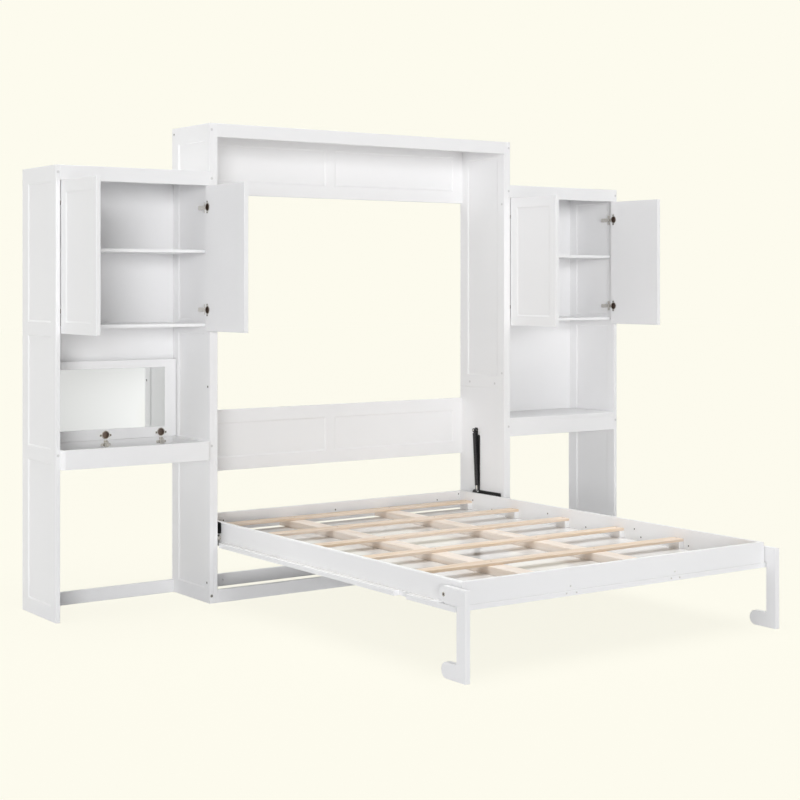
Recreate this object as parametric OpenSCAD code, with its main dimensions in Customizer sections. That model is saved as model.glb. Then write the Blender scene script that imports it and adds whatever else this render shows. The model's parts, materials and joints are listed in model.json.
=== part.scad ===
// Wall bed between two towers, drawn with the bed lowered, the cupboard doors open
// and the lid of the left-hand vanity desk raised.
//
// Frame: X runs along the wall, +Y points at the wall and Z is up from the floor.
// The origin is on the floor, at the back of the unit, midway between the towers.
// The room side of the unit is -Y. The left tower is on the -X side.

/* [Mattress and bed] */
// Width of the mattress
mattress_w = 1524; // [1200:1:1830]
// Length of the mattress
mattress_len = 2032; // [1900:1:2100]
// Room left at each side of the mattress
well_side_gap = 5; // [2:0.5:15]
// Thickness of the two side rails
rail_t = 18; // [16:1:24]
// Height of the rails above the face panel
rail_h = 86; // [80:1:120]
// Thickness of the boards at the head and the foot
end_board_t = 16; // [15:1:22]
// Thickness of the panel under the bed, which is the front when the bed is shut
face_t = 20; // [16:1:25]
// Height of the underside of the face panel above the floor
face_bottom_z = 246; // [230:1:260]
// Number of cross slats
slat_count = 6; // [4:1:9]
// Width of a slat
slat_w = 65; // [50:1:90]
// Thickness of a slat
slat_t = 12; // [10:1:24]
// Number of long beams under the slats
beam_count = 2; // [1:1:3]
// Width of a beam
beam_w = 80; // [50:1:90]
// Distance between the middles of the beams
beam_pitch = 550; // [300:1:580]

/* [Portal and towers] */
// Depth of the unit from the wall to its front edges
unit_depth = 362; // [350:1:420]
// Thickness of the boards of the unit
board_t = 20; // [18:1:24]
// Space at each side of the bed for the lifting gear and the legs
gear_gap = 31; // [31:0.5:50]
// Clear width inside a tower
tower_clear_w = 706; // [560:1:900]
// Height of the towers
tower_h = 1918; // [1880:1:1990]
// Height of the board across the top of the portal
crown_h = 60; // [50:1:90]
// Height of the board above the cupboards
tower_crown_h = 63; // [50:1:80]
// Height of the rails on the floor
floor_rail_h = 58; // [40:1:62]

/* [Framed boards] */
// Width of the upright of a frame at the wall
rear_stile_w = 62; // [40:1:80]
// Width of the upright of a frame at the room side
front_stile_w = 52; // [40:1:80]
// Height of the bottom member of a frame
bottom_member_h = 62; // [40:1:80]
// Height of the top member of a frame
top_member_h = 66; // [40:1:80]
// Height of the two middle members of a frame
mid_member_h = 56; // [40:1:80]
// Depth of the sunk centre of a frame
field_depth = 4; // [2:0.5:6]
// Width of the slope round a sunk centre
field_slope = 7; // [3:0.5:12]

/* [Cupboards] */
// Height of the bottom edge of the doors
door_z0 = 1210; // [1180:1:1250]
// Thickness of a door
door_t = 20; // [16:1:24]
// Gap round a door
door_gap = 2.5; // [2:0.5:4]
// Height of the top of the middle shelf
mid_shelf_z = 1570; // [1400:1:1650]
// Thickness of the shelves
shelf_t = 13; // [12:1:20]
// Thickness of the panels at the back of the towers
tower_back_t = 12; // [6:1:16]

/* [Desks] */
// Height of both desk tops
desk_z = 742; // [700:1:780]
// Depth of the vanity lid, which is its height when it stands open
lid_depth = 353; // [300:1:370]
// Height of the vanity tray
tray_h = 82; // [60:1:110]
// How far the front of the tray stands out of the towers
tray_proud = 20; // [0:1:30]
// Width of the frame round the mirror
mirror_frame_w = 56; // [35:1:90]

/* [Lifting gear] */
// Thickness of the steel plates
plate_t = 4; // [3:0.5:4]
// Diameter of the pin that the bed turns on
pivot_d = 12; // [10:1:16]
// Diameter of the gas struts
strut_d = 18; // [15:1:19]
// Diameter of the rods of the gas struts
strut_rod_d = 8; // [6:1:10]
// Length of the tube of a gas strut
strut_tube_len = 268; // [262:1:280]

/* [Legs] */
// Thickness of the legs
leg_t = 23; // [18:1:23]
// Width of the arm and the toe of a leg
leg_w = 60; // [50:1:60]
// Width of the upright of a leg
leg_bar_w = 50; // [40:1:60]

/* [Hinges] */
// Diameter of the round cup of a hinge
cup_d = 35; // [30:1:36]
// Depth of the cup in the board
cup_depth = 11; // [9:0.5:12]

/* [Hidden] */

$fn = 48;

// Cutters run this far past the face that they cut
over = 1;
// Radial clearance of a pin in its hole
pin_play = 0.05;
// Gap between wooden pieces that move past each other
slide_gap = 1;

// ---- widths
well_w = mattress_w + 2 * well_side_gap;
rail_in_x = well_w / 2;
rail_out_x = rail_in_x + rail_t;
lining_x = rail_out_x + gear_gap;
centre_x = lining_x + board_t;
centre_out_x = centre_x + board_t;
outer_x = centre_out_x + tower_clear_w;
outer_out_x = outer_x + board_t;
tower_mid_x = (centre_out_x + outer_x) / 2;

// ---- the bed and the line it turns on
well_len = mattress_len + 1;
face_top_z = face_bottom_z + face_t;
rail_top_z = face_top_z + rail_h;
// The face panel has to end flush with the front when the bed has turned through 90 degrees
pivot_above_face = 37;
pivot_z = face_bottom_z + pivot_above_face;
pivot_y = -unit_depth + pivot_above_face;
// The head end swings just clear of the floor
head_floor_gap = 3;
head_y = pivot_y + pivot_z - head_floor_gap;
foot_y = head_y - well_len - 2 * end_board_t;
closed_top_z = pivot_z + pivot_y - foot_y;

// ---- heights of the portal
crown_gap = 6;
crown_z0 = closed_top_z + crown_gap;
portal_h = crown_z0 + crown_h;
lining_split_z = 889;
portal_top_member_h = top_member_h + 8;

// ---- the face panel
face_side_gap = 5;
face_head_gap = 6;
face_margin_gap = 10;
face_body_x = rail_out_x + face_side_gap;
face_margin_x = lining_x - slide_gap;
face_head_y = pivot_y + pivot_z - floor_rail_h - face_head_gap;
face_margin_y = -unit_depth - face_margin_gap;

// ---- slats: the first and the last are this far from the boards at the head and the foot
slat_head_gap = 69;
slat_foot_gap = 84;
slat_end_gap = 1;
slat_y0 = head_y - end_board_t - slat_head_gap;
slat_pitch = (well_len - slat_head_gap - slat_foot_gap) / (slat_count - 1);
slat_drop = 42;
slat_top_z = rail_top_z - slat_drop;
cleat_w = 27;
cleat_z1 = slat_top_z - slat_t;
// A groove along the bed floor marks off its border
floor_groove_w = 3;
floor_groove_t = 1.5;
floor_border_w = 30;

// ---- floor rails and back panels
floor_rail_t = 18;
back_panel_t = 18;
upper_back_z = 1838;
headboard_z0 = 542;
headboard_z1 = 828;
back_stile_w = 60;
back_mid_stile_w = 50;

// The rail at the wall has the holes that screw the unit to the wall
wall_hole_d = 8;
wall_hole_x = 600;

// ---- towers
mid_member_z = [665, 1200];
tower_crown_z = tower_h - tower_crown_h;
door_z1 = tower_crown_z - door_gap;
door_pin_gap = 3;
door_w = tower_clear_w / 2 - door_pin_gap - door_gap / 2;
door_stile_w = 48;
door_stop_gap = 6;
shelf_front_y = -unit_depth + door_t + door_stop_gap;
bottom_shelf_z = 1243;
door_hinge_inset = 94;
door_hinge_z = [door_z0 + door_hinge_inset, door_z1 - door_hinge_inset];

// ---- desks
desk_t = board_t;
lid_gap = 0.6;
lid_hinge_z = desk_z - desk_t;
tray_top_z = lid_hinge_z - lid_gap;
tray_z0 = tray_top_z - tray_h;
right_apron_h = 72;
lid_rear_y = -23;
lid_hinge_y = lid_rear_y - desk_t;
lid_side_gap = 3;
lid_x0 = centre_out_x + lid_side_gap;
lid_x1 = outer_x - lid_side_gap;
tray_front_y = -unit_depth - tray_proud;
tray_floor_t = 15;
apron_t = board_t;
apron_corner_r = 20;
mirror_t = 4;
mirror_recess = 6;
mirror_bottom_w = 47;
mirror_top_w = 35;
lid_hinge_inset = 79;
lid_hinge_x = [for (i = [-1, 0, 1]) -tower_mid_x + i * (tower_clear_w / 2 - lid_hinge_inset)];

// ---- hinges: a cup with its flange in the board that moves, an arm on a plate on the one that stays
cup_edge = 22;
cup_play = 0.1;
cup_wall = 1.5;
cup_lid_z = lid_hinge_z + cup_edge;
flange_h = 57;
flange_t = 1.5;
flange_span = [-4, 8];
flange_ring_w = 2;
hinge_arm_gap = 4;
hinge_arm_len = 62;
lid_arm_len = 26;
hinge_arm_w = 18;
hinge_arm_t = 9;
hinge_arm_wall = 2;
hinge_solid_len = 14;
hinge_base_w = 12;
hinge_base_h = 48;
hinge_base_t = 3;
hinge_base_y = 16;
hinge_tongue_t = 2.5;
hinge_tongue_gap = 0.5;
hinge_corner_r = 4;
door_arm_y = -unit_depth + door_t + hinge_arm_gap;
lid_arm_z = tray_top_z - hinge_arm_gap - flange_t;

// ---- lifting gear
frame_plate_x = lining_x - plate_t;
arm_plate_x = rail_out_x;
pivot_boss_d = 24;
plate_corner_r = 8;
strut_x = lining_x - 15;
// Y and Z of the studs at the top and the foot of a strut, with the bed lowered
strut_top = [-138, 668];
strut_foot = [pivot_y + 165, pivot_z + 69];
strut_stud_d = 10;
eye_r = 10;
eye_t = 12;
stud_head_d = 16;
stud_head_t = 2;
// The upright limb of the plate on the lining, its narrower head and the foot that reaches the pivot
limb_w = 34;
limb_y0 = strut_top[0] - 29;
head_w = 26;
head_h = 46;
foot_reach = 13;
foot_span = [pivot_z - 30, pivot_z + 80];
// The plate on the rail lies flush with the rail's top, and its ear carries the foot of the strut
arm_h = 50;
arm_reach = [14, 26];
arm_ear_r = 16;
arm_play = 0.3;
// The pivot pin stops this far inside the inner face of the rail
pin_end_gap = 1;
// The eye of a strut stands off its tube, and the tube's end is this thick
eye_neck = 4;
tube_end_t = 4;
tube_rod_play = 1;
plate_air = 0.4;

// ---- legs
leg_side_gap = 1.5;
leg_face_gap = 5;
leg_end_gap = 7;
leg_x0 = lining_x - leg_side_gap - leg_t;
leg_r = leg_w / 2;
leg_bolt_inset = 71;
leg_bolt_y = foot_y + leg_bolt_inset;
leg_bolt_z = face_top_z + leg_face_gap + leg_r;
leg_bar_front_y = foot_y - leg_end_gap - leg_bar_w;
leg_toe_y = leg_bolt_y + 13;
leg_bolt_d = 10;
leg_spacer_gap = 0.3;
// The corner of the face panel's margin is carried by the leg, so that the leg can swing. The seam is a
// circle round the bolt that just holds the corner's tip
corner_gap = 1;
corner_r = norm([leg_bolt_inset, leg_bolt_z - face_bottom_z]) + corner_gap;
// The toe swings up past the margin through a slot, which is longer than the toe by these two
toe_slot_gap = [8, 10];
neck_inset = [1, 5];

// ---- colours
white_paint = "white";
pine = "burlywood";
black_steel = "#202020";
bright_steel = "silver";

// =====================================================================
// Helpers

// The same piece on the right (s = 1) or mirrored to the left (s = -1)
module at_side(s) {
    if (s < 0) mirror([1, 0, 0]) children();
    else children();
}

// A box between two corners
module block(lo, hi) {
    translate(lo) cube(hi - lo);
}

// An outline drawn in Y and Z, given a thickness along X
module upright(x, t) {
    translate([x, 0, 0]) rotate([90, 0, 90]) linear_extrude(t) children();
}

// A cylinder along X
module x_rod(x0, x1, y, z, d) {
    translate([x0, y, z]) rotate([0, 90, 0]) cylinder(h = x1 - x0, d = d);
}

// A flat bar with round ends between two points
module bar_2d(p, q, r) {
    d = q - p;
    translate(p) circle(r);
    translate(q) circle(r);
    translate(p) rotate(atan2(d[1], d[0])) translate([0, -r]) square([norm(d), 2 * r]);
}

// A square whose corners are rounded
module round_rect_2d(lo, hi, r) {
    translate(lo + [r, 0]) square(hi - lo - [2 * r, 0]);
    translate(lo + [0, r]) square(hi - lo - [0, 2 * r]);
    for (x = [lo[0] + r, hi[0] - r]) {
        for (y = [lo[1] + r, hi[1] - r]) {
            translate([x, y]) circle(r);
        }
    }
}

// The sunk centre of a frame, cut into the face X = 0 towards +X, between its four members
module field_cut(y0, y1, z0, z1) {
    g = field_slope * over / field_depth;
    s = field_slope;
    polyhedron(
        points = [
            [-over, y0 - g, z0 - g], [-over, y1 + g, z0 - g], [-over, y1 + g, z1 + g], [-over, y0 - g, z1 + g],
            [field_depth, y0 + s, z0 + s], [field_depth, y1 - s, z0 + s],
            [field_depth, y1 - s, z1 - s], [field_depth, y0 + s, z1 - s]
        ],
        faces = [[0, 1, 2, 3], [7, 6, 5, 4], [0, 4, 5, 1], [1, 5, 6, 2], [2, 6, 7, 3], [3, 7, 4, 0]]
    );
}

// The same, cut into a face at the depth y that looks at the room
module front_field_cut(x0, x1, z0, z1, y) {
    translate([0, y, 0]) rotate([0, 0, 90]) field_cut(-x1, -x0, z0, z1);
}

// An upright board with framed faces, from x to x + t. The spans are the heights between the members
module framed_board(x, t, z0, z1, spans, low_face, high_face) {
    difference() {
        block([x, -unit_depth, z0], [x + t, 0, z1]);
        for (s = spans) {
            if (low_face) {
                translate([x, 0, 0]) field_cut(-unit_depth + front_stile_w, -rear_stile_w, s[0], s[1]);
            }
            if (high_face) {
                translate([x + t, 0, 0]) mirror([1, 0, 0])
                    field_cut(-unit_depth + front_stile_w, -rear_stile_w, s[0], s[1]);
            }
        }
    }
}

// =====================================================================
// Uprights

tower_spans = [
    [bottom_member_h, mid_member_z[0]],
    [mid_member_z[0] + mid_member_h, mid_member_z[1]],
    [mid_member_z[1] + mid_member_h, tower_h - top_member_h]
];
centre_spans = [
    tower_spans[0],
    tower_spans[1],
    [mid_member_z[1] + mid_member_h, portal_h - portal_top_member_h]
];

module outer_panel(s) {
    color(white_paint) at_side(s) framed_board(outer_x, board_t, 0, tower_h, tower_spans, true, true);
}

module centre_panel(s) {
    color(white_paint) at_side(s) framed_board(centre_x, board_t, 0, portal_h, centre_spans, false, true);
}

// The lining of the portal's sides: framed above, plain behind the lifting gear
module upper_lining(s) {
    span = [[lining_split_z + bottom_member_h, portal_h - portal_top_member_h]];
    color(white_paint) at_side(s)
        framed_board(lining_x, board_t, lining_split_z, portal_h, span, true, false);
}

module lower_lining(s) {
    color(white_paint) at_side(s)
        block([lining_x, -unit_depth, 0], [centre_x, 0, lining_split_z]);
}

// =====================================================================
// Boards across the portal

// A board across the portal at its back, with two sunk centres beside a middle stile
module back_board(z0, z1) {
    inner = lining_x - back_stile_w;
    difference() {
        block([-lining_x, -back_panel_t, z0], [lining_x, 0, z1]);
        for (x = [-inner, back_mid_stile_w / 2]) {
            front_field_cut(
                x, x + inner - back_mid_stile_w / 2, z0 + back_stile_w, z1 - back_stile_w, -back_panel_t
            );
        }
    }
}

module crown_board() {
    color(white_paint)
        block([-lining_x, -unit_depth, crown_z0], [lining_x, -unit_depth + board_t, portal_h]);
}

module portal_top_board() {
    color(white_paint)
        block([-lining_x, -unit_depth + board_t, portal_h - board_t], [lining_x, -back_panel_t, portal_h]);
}

module upper_back_panel() {
    color(white_paint) back_board(upper_back_z, portal_h);
}

module headboard_panel() {
    color(white_paint) back_board(headboard_z0, headboard_z1);
}

module portal_front_floor_rail() {
    color(white_paint)
        block([-lining_x, -unit_depth, 0], [lining_x, -unit_depth + floor_rail_t, floor_rail_h]);
}

module portal_rear_floor_rail() {
    color(white_paint) difference() {
        block([-lining_x, -floor_rail_t, 0], [lining_x, 0, floor_rail_h]);
        for (x = [-wall_hole_x, wall_hole_x]) {
            translate([x, over, floor_rail_h / 2]) rotate([90, 0, 0])
                cylinder(h = floor_rail_t + 2 * over, d = wall_hole_d);
        }
    }
}

// =====================================================================
// Towers

module tower_top(s) {
    color(white_paint) at_side(s)
        block([centre_out_x, -unit_depth + board_t, tower_h - board_t], [outer_x, 0, tower_h]);
}

module tower_crown(s) {
    color(white_paint) at_side(s)
        block([centre_out_x, -unit_depth, tower_crown_z], [outer_x, -unit_depth + board_t, tower_h]);
}

// The middle shelf and the floor of the cupboard
module shelves(s) {
    color(white_paint) at_side(s) {
        for (z = [bottom_shelf_z, mid_shelf_z]) {
            block([centre_out_x, shelf_front_y, z - shelf_t], [outer_x, -tower_back_t, z]);
        }
    }
}

// Back of the cupboard and of the niche above the desk
module tower_back(s) {
    color(white_paint) at_side(s)
        block([centre_out_x, -tower_back_t, desk_z - desk_t], [outer_x, 0, tower_h - board_t]);
}

module tower_floor_rail(s) {
    color(white_paint) at_side(s)
        block([centre_out_x, -floor_rail_t, 0], [outer_x, 0, floor_rail_h]);
}

// =====================================================================
// Vanity desk in the left tower: a tray with a lid that carries the mirror

module tray_bottom() {
    color(white_paint)
        block(
            [-outer_x + board_t, tray_front_y + apron_t, tray_z0],
            [-centre_out_x - board_t, lid_hinge_y, tray_z0 + tray_floor_t]
        );
}

// The apron stands out of the towers and its ends turn back in a quarter circle
module tray_apron() {
    r = min(apron_corner_r, apron_t);
    color(white_paint) translate([-tower_mid_x, tray_front_y, tray_z0]) linear_extrude(tray_h) {
        translate([-tower_clear_w / 2 + r, 0]) square([tower_clear_w - 2 * r, apron_t]);
        for (s = [-1, 1]) {
            intersection() {
                translate([s * (tower_clear_w / 2 - r), r]) circle(r);
                translate([s * (tower_clear_w - r) / 2 - r / 2, 0]) square([r, r]);
            }
        }
        if (apron_t > r) {
            translate([-tower_clear_w / 2, r]) square([tower_clear_w, apron_t - r]);
        }
    }
}

module tray_rear_wall() {
    color(white_paint)
        block([-outer_x, lid_hinge_y, tray_z0], [-centre_out_x, lid_rear_y, tray_top_z]);
}

// The two sides of the tray, screwed to the uprights
module tray_sides() {
    color(white_paint) {
        for (x = [-outer_x, -centre_out_x - board_t]) {
            block([x, tray_front_y + apron_t, tray_z0], [x + board_t, lid_hinge_y, tray_top_z]);
        }
    }
}

// A cup hinge's round seat, sunk into a board from the face Y = 0 towards +Y
module cup_seat(x, z) {
    translate([x, -over, z]) rotate([-90, 0, 0]) cylinder(h = cup_depth + over, d = cup_d);
}

// The cup and its flange. The flange lies on the face Y = 0 and the hinge line is below it (Z smaller)
module hinge_cup() {
    color(bright_steel) difference() {
        union() {
            rotate([-90, 0, 0]) cylinder(h = cup_depth, d = cup_d - 2 * cup_play);
            translate([0, -flange_t, 0]) rotate([-90, 0, 0]) linear_extrude(flange_t) {
                round_rect_2d([-flange_h / 2, flange_span[0]], [flange_h / 2, flange_span[1]], hinge_corner_r);
                circle(d = cup_d + 2 * flange_ring_w);
            }
        }
        translate([0, -flange_t - over, 0]) rotate([-90, 0, 0])
            cylinder(h = flange_t + over + cup_depth - cup_wall, d = cup_d - 2 * cup_wall);
    }
}

module desk_lid() {
    color(white_paint) difference() {
        block([-lid_x1, lid_hinge_y, lid_hinge_z], [-lid_x0, lid_rear_y, lid_hinge_z + lid_depth]);
        block(
            [-lid_x1 + mirror_frame_w, lid_hinge_y - over, lid_hinge_z + mirror_bottom_w],
            [-lid_x0 - mirror_frame_w, lid_hinge_y + mirror_recess, lid_hinge_z + lid_depth - mirror_top_w]
        );
        for (x = lid_hinge_x) {
            translate([0, lid_hinge_y, 0]) cup_seat(x, cup_lid_z);
        }
    }
}

module mirror_pane() {
    color("lightcyan") block(
        [-lid_x1 + mirror_frame_w, lid_hinge_y + mirror_recess - mirror_t, lid_hinge_z + mirror_bottom_w],
        [-lid_x0 - mirror_frame_w, lid_hinge_y + mirror_recess, lid_hinge_z + lid_depth - mirror_top_w]
    );
}

module lid_hinge_cups() {
    for (x = lid_hinge_x) {
        translate([x, lid_hinge_y, cup_lid_z]) hinge_cup();
    }
}

// =====================================================================
// Fixed desk in the right tower

module right_desk_top() {
    color(white_paint)
        block([centre_out_x, -unit_depth, desk_z - desk_t], [outer_x, -tower_back_t, desk_z]);
}

module right_desk_apron() {
    color(white_paint)
        block(
            [centre_out_x, -unit_depth, desk_z - desk_t - right_apron_h],
            [outer_x, -unit_depth + board_t, desk_z - desk_t]
        );
}

// =====================================================================
// Doors. Each is drawn shut with its hinge line at X = 0, Y = 0 and its front at Y = 0,
// then opened through 90 degrees

module door_at(side, hand) {
    hinge_x = side * (hand == side ? outer_x - door_pin_gap : centre_out_x + door_pin_gap);
    translate([hinge_x, -unit_depth, 0]) mirror([hand > 0 ? 1 : 0, 0, 0]) rotate([0, 0, -90]) children();
}

module door(side, hand) {
    color(white_paint) door_at(side, hand) difference() {
        block([0, 0, door_z0], [door_w, door_t, door_z1]);
        front_field_cut(door_stile_w, door_w - door_stile_w, door_z0 + door_stile_w, door_z1 - door_stile_w, 0);
        for (z = door_hinge_z) {
            translate([cup_edge, door_t, z]) mirror([0, 1, 0]) cup_seat(0, 0);
        }
    }
}

module door_cups(side, hand) {
    door_at(side, hand) {
        for (z = door_hinge_z) {
            translate([cup_edge, door_t, z]) mirror([0, 1, 0]) rotate([0, 90, 0]) hinge_cup();
        }
    }
}

// =====================================================================
// Hinge plates on the fixed boards

// A plate on the plane Z = 0. Its hollow arm of the given length runs from Y = 0 along +Y, and a thin
// tongue reaches from the plate the other way, to the hinge line
module hinge_plate(arm_len, tongue) {
    inside = [hinge_arm_w - 2 * hinge_arm_wall, arm_len - hinge_solid_len - hinge_corner_r];
    color(bright_steel) {
        translate([0, hinge_base_y, 0]) linear_extrude(hinge_base_t) round_rect_2d(
            [-hinge_base_h / 2, -hinge_base_w / 2], [hinge_base_h / 2, hinge_base_w / 2], hinge_corner_r
        );
        difference() {
            translate([0, 0, hinge_base_t]) linear_extrude(hinge_arm_t)
                round_rect_2d([-hinge_arm_w / 2, 0], [hinge_arm_w / 2, arm_len], hinge_corner_r);
            translate([-inside[0] / 2, hinge_corner_r, hinge_base_t - over])
                cube([inside[0], inside[1], hinge_arm_t + over - hinge_arm_wall]);
        }
        translate([-hinge_arm_w / 2, -tongue, 0]) cube([hinge_arm_w, hinge_base_y + tongue, hinge_tongue_t]);
    }
}

module hinge_plates() {
    for (side = [-1, 1]) {
        for (hand = [-1, 1]) {
            for (z = door_hinge_z) {
                x = side * (hand == side ? outer_x : centre_out_x);
                translate([x, door_arm_y, z]) rotate([0, hand > 0 ? -90 : 90, 0])
                    hinge_plate(hinge_arm_len, door_t + hinge_arm_gap - hinge_tongue_gap);
            }
        }
    }
    for (x = lid_hinge_x) {
        translate([x, lid_hinge_y, lid_arm_z]) rotate([90, 0, 0]) rotate([0, 0, 180])
            hinge_plate(lid_arm_len, hinge_arm_gap);
    }
}

// Caps over the assembly screws, each a shallow disc on the face
cap_d = 12;
cap_t = 1;
cap_front_inset = 17;
cap_foot_inset = 25;
cap_seam_inset = 75;
cap_rear_inset = 21;

module front_cap(x, z) {
    translate([x, -unit_depth, z]) rotate([90, 0, 0]) cylinder(h = cap_t, d = cap_d);
}

module side_cap(x, y, z, dir) {
    translate([x, y, z]) rotate([0, 90 * dir, 0]) cylinder(h = cap_t, d = cap_d);
}

module cover_caps() {
    color("gainsboro") {
        for (s = [-1, 1]) {
            front_cap(s * (outer_x + board_t / 2), tower_crown_z + 32);
            front_cap(s * (centre_x + board_t / 2), tower_crown_z + 32);
            front_cap(s * (outer_x + board_t / 2), desk_z - 42);
            front_cap(s * (centre_x + board_t / 2), desk_z - 42);
            front_cap(s * (centre_x + board_t / 2), 34);
            front_cap(s * (centre_x + board_t / 2), portal_h - 30);
            side_cap(s * centre_out_x, -unit_depth + cap_front_inset, 962, s);
            side_cap(s * centre_out_x, -unit_depth + cap_foot_inset, 90, s);
            side_cap(s * centre_out_x, -cap_rear_inset, portal_h - 28, s);
            side_cap(s * lining_x, -unit_depth + cap_front_inset, 1821, -s);
            side_cap(s * lining_x, -unit_depth + cap_front_inset, 969, -s);
            side_cap(s * lining_x, -unit_depth + cap_seam_inset, 915, -s);
            side_cap(s * lining_x, -81, 915, -s);
        }
    }
}

// =====================================================================
// Bed

// A side rail with a rounded top edge on the outside, bored for the pivot pin
module bed_rail(s) {
    r = 4;
    color(white_paint) at_side(s) difference() {
        translate([0, head_y, 0]) rotate([90, 0, 0]) linear_extrude(head_y - foot_y) {
            translate([rail_in_x, face_top_z]) square([rail_t - r, rail_h]);
            translate([rail_in_x, face_top_z]) square([rail_t, rail_h - r]);
            translate([rail_out_x - r, rail_top_z - r]) circle(r);
        }
        x_rod(rail_in_x - over, rail_out_x + over, pivot_y, pivot_z, pivot_d + 2 * pin_play);
    }
}

module end_board(y) {
    color(white_paint) block([-rail_in_x, y, face_top_z], [rail_in_x, y + end_board_t, rail_top_z]);
}

// The face panel. Its margins reach out to close the portal and stop short of the lifting gear;
// each has a slot for the leg's toe, and its corner goes with the leg
module face_panel() {
    groove_x = rail_in_x - floor_border_w;
    color(white_paint) difference() {
        union() {
            block([-face_body_x, foot_y, face_bottom_z], [face_body_x, face_head_y, face_top_z]);
            block([-face_margin_x, foot_y, face_bottom_z], [face_margin_x, face_margin_y, face_top_z]);
        }
        for (s = [-1, 1]) {
            at_side(s) {
                // the groove beside the border
                block(
                    [groove_x, foot_y + end_board_t, face_top_z - floor_groove_t],
                    [groove_x + floor_groove_w, head_y - end_board_t, face_top_z + over]
                );
                // room for the corner block, which swings about the leg's bolt
                x_rod(face_body_x, face_margin_x + over, leg_bolt_y, leg_bolt_z, 2 * corner_r);
                // the slot for the toe
                block(
                    [face_body_x, leg_bolt_y + leg_bolt_z - leg_w - toe_slot_gap[0], face_bottom_z - over],
                    [face_margin_x + over, leg_bolt_y + leg_bolt_z + toe_slot_gap[1], face_top_z + over]
                );
            }
        }
    }
}

// Blocks on the rails that the ends of the slats lie on
module slat_cleats() {
    color(white_paint) {
        for (s = [-1, 1]) {
            for (i = [0:slat_count - 1]) {
                y = slat_y0 - i * slat_pitch;
                at_side(s) block(
                    [rail_in_x - cleat_w, y - slat_w / 2, face_top_z], [rail_in_x, y + slat_w / 2, cleat_z1]
                );
            }
        }
    }
}

module cross_slats() {
    color(pine) {
        for (i = [0:slat_count - 1]) {
            y = slat_y0 - i * slat_pitch;
            block(
                [-rail_in_x + slat_end_gap, y - slat_w / 2, cleat_z1],
                [rail_in_x - slat_end_gap, y + slat_w / 2, slat_top_z]
            );
        }
    }
}

module support_beams() {
    color(pine) {
        for (i = [0:beam_count - 1]) {
            x = (i - (beam_count - 1) / 2) * beam_pitch;
            block(
                [x - beam_w / 2, foot_y + end_board_t, face_top_z],
                [x + beam_w / 2, head_y - end_board_t, cleat_z1]
            );
        }
    }
}

// =====================================================================
// Legs

// A C-shaped leg: arm, upright and toe, with the corner of the face panel's margin below the arm
module leg(s) {
    color(white_paint) at_side(s) difference() {
        union() {
            upright(leg_x0, leg_t) {
                bar_2d([leg_bolt_y, leg_bolt_z], [leg_bar_front_y + leg_r, leg_bolt_z], leg_r);
                translate([leg_bar_front_y, 0]) square([leg_bar_w, leg_bolt_z + leg_r]);
                translate([leg_bar_front_y, 0]) square([leg_toe_y - leg_r - leg_bar_front_y, leg_w]);
                translate([leg_toe_y - leg_r, leg_r]) circle(leg_r);
            }
            corner_block();
        }
        x_rod(leg_x0 - over, leg_x0 + leg_t + over, leg_bolt_y, leg_bolt_z, leg_bolt_d + 2 * pin_play);
    }
}

// The end of the margin, cut to a circle round the bolt, and the neck that joins it to the arm
module corner_block() {
    intersection() {
        block(
            [face_body_x + corner_gap / 2, foot_y, face_bottom_z],
            [face_margin_x, leg_bolt_y + corner_r, face_top_z]
        );
        x_rod(face_body_x, face_margin_x + over, leg_bolt_y, leg_bolt_z, 2 * (corner_r - corner_gap));
    }
    block(
        [leg_x0 + neck_inset[0], foot_y, face_top_z],
        [leg_x0 + leg_t - neck_inset[1], leg_bolt_y, leg_bolt_z]
    );
}

// A bolt through each leg into the rail, with a spacer between the two
module leg_bolts() {
    color(bright_steel) {
        for (s = [-1, 1]) {
            at_side(s) {
                x_rod(rail_out_x, leg_x0 + leg_t, leg_bolt_y, leg_bolt_z, leg_bolt_d);
                x_rod(rail_out_x, leg_x0 - leg_spacer_gap, leg_bolt_y, leg_bolt_z, 2 * leg_bolt_d);
            }
        }
    }
}

// =====================================================================
// Lifting gear, in the gap at each side of the bed

// The steel plate on the lining, with the pivot pin and the stud for the top of the strut
module lift_frame_plate(s) {
    color(black_steel) at_side(s) {
        upright(frame_plate_x, plate_t) {
            round_rect_2d(
                [limb_y0, foot_span[0]], [limb_y0 + limb_w, strut_top[1] - head_h / 2], plate_corner_r
            );
            round_rect_2d(
                strut_top - [head_w / 2, head_h], strut_top + [head_w / 2, head_w / 2], plate_corner_r
            );
            round_rect_2d(
                [pivot_y - foot_reach, foot_span[0]], [limb_y0 + limb_w - 1, foot_span[1]], plate_corner_r
            );
        }
        x_rod(rail_in_x + pin_end_gap, frame_plate_x, pivot_y, pivot_z, pivot_d);
        x_rod(rail_out_x + arm_play, frame_plate_x, pivot_y, pivot_z, pivot_boss_d);
        x_rod(strut_x - eye_t / 2 - stud_head_t, frame_plate_x, strut_top[0], strut_top[1], strut_stud_d);
        x_rod(strut_x + eye_t / 2 + arm_play, frame_plate_x, strut_top[0], strut_top[1], stud_head_d);
    }
}

// The steel plate on the rail, above the pivot, which takes the foot of the strut
module lift_arm_plate(s) {
    color(black_steel) at_side(s) upright(arm_plate_x, plate_t) {
        translate(strut_foot) circle(arm_ear_r);
        round_rect_2d(
            [pivot_y - arm_reach[0], rail_top_z - arm_h], [strut_foot[0] + arm_reach[1], rail_top_z],
            plate_corner_r
        );
    }
}

strut_dir = strut_foot - strut_top;
strut_len = norm(strut_dir);
strut_unit = strut_dir / strut_len;
strut_angle = atan2(strut_dir[1], strut_dir[0]);

// Draws along a strut: local X runs from the top stud towards the foot
module along_strut() {
    translate([strut_x, strut_top[0], strut_top[1]]) rotate([strut_angle, 0, 0]) rotate([0, 0, 90])
        children();
}

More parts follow.
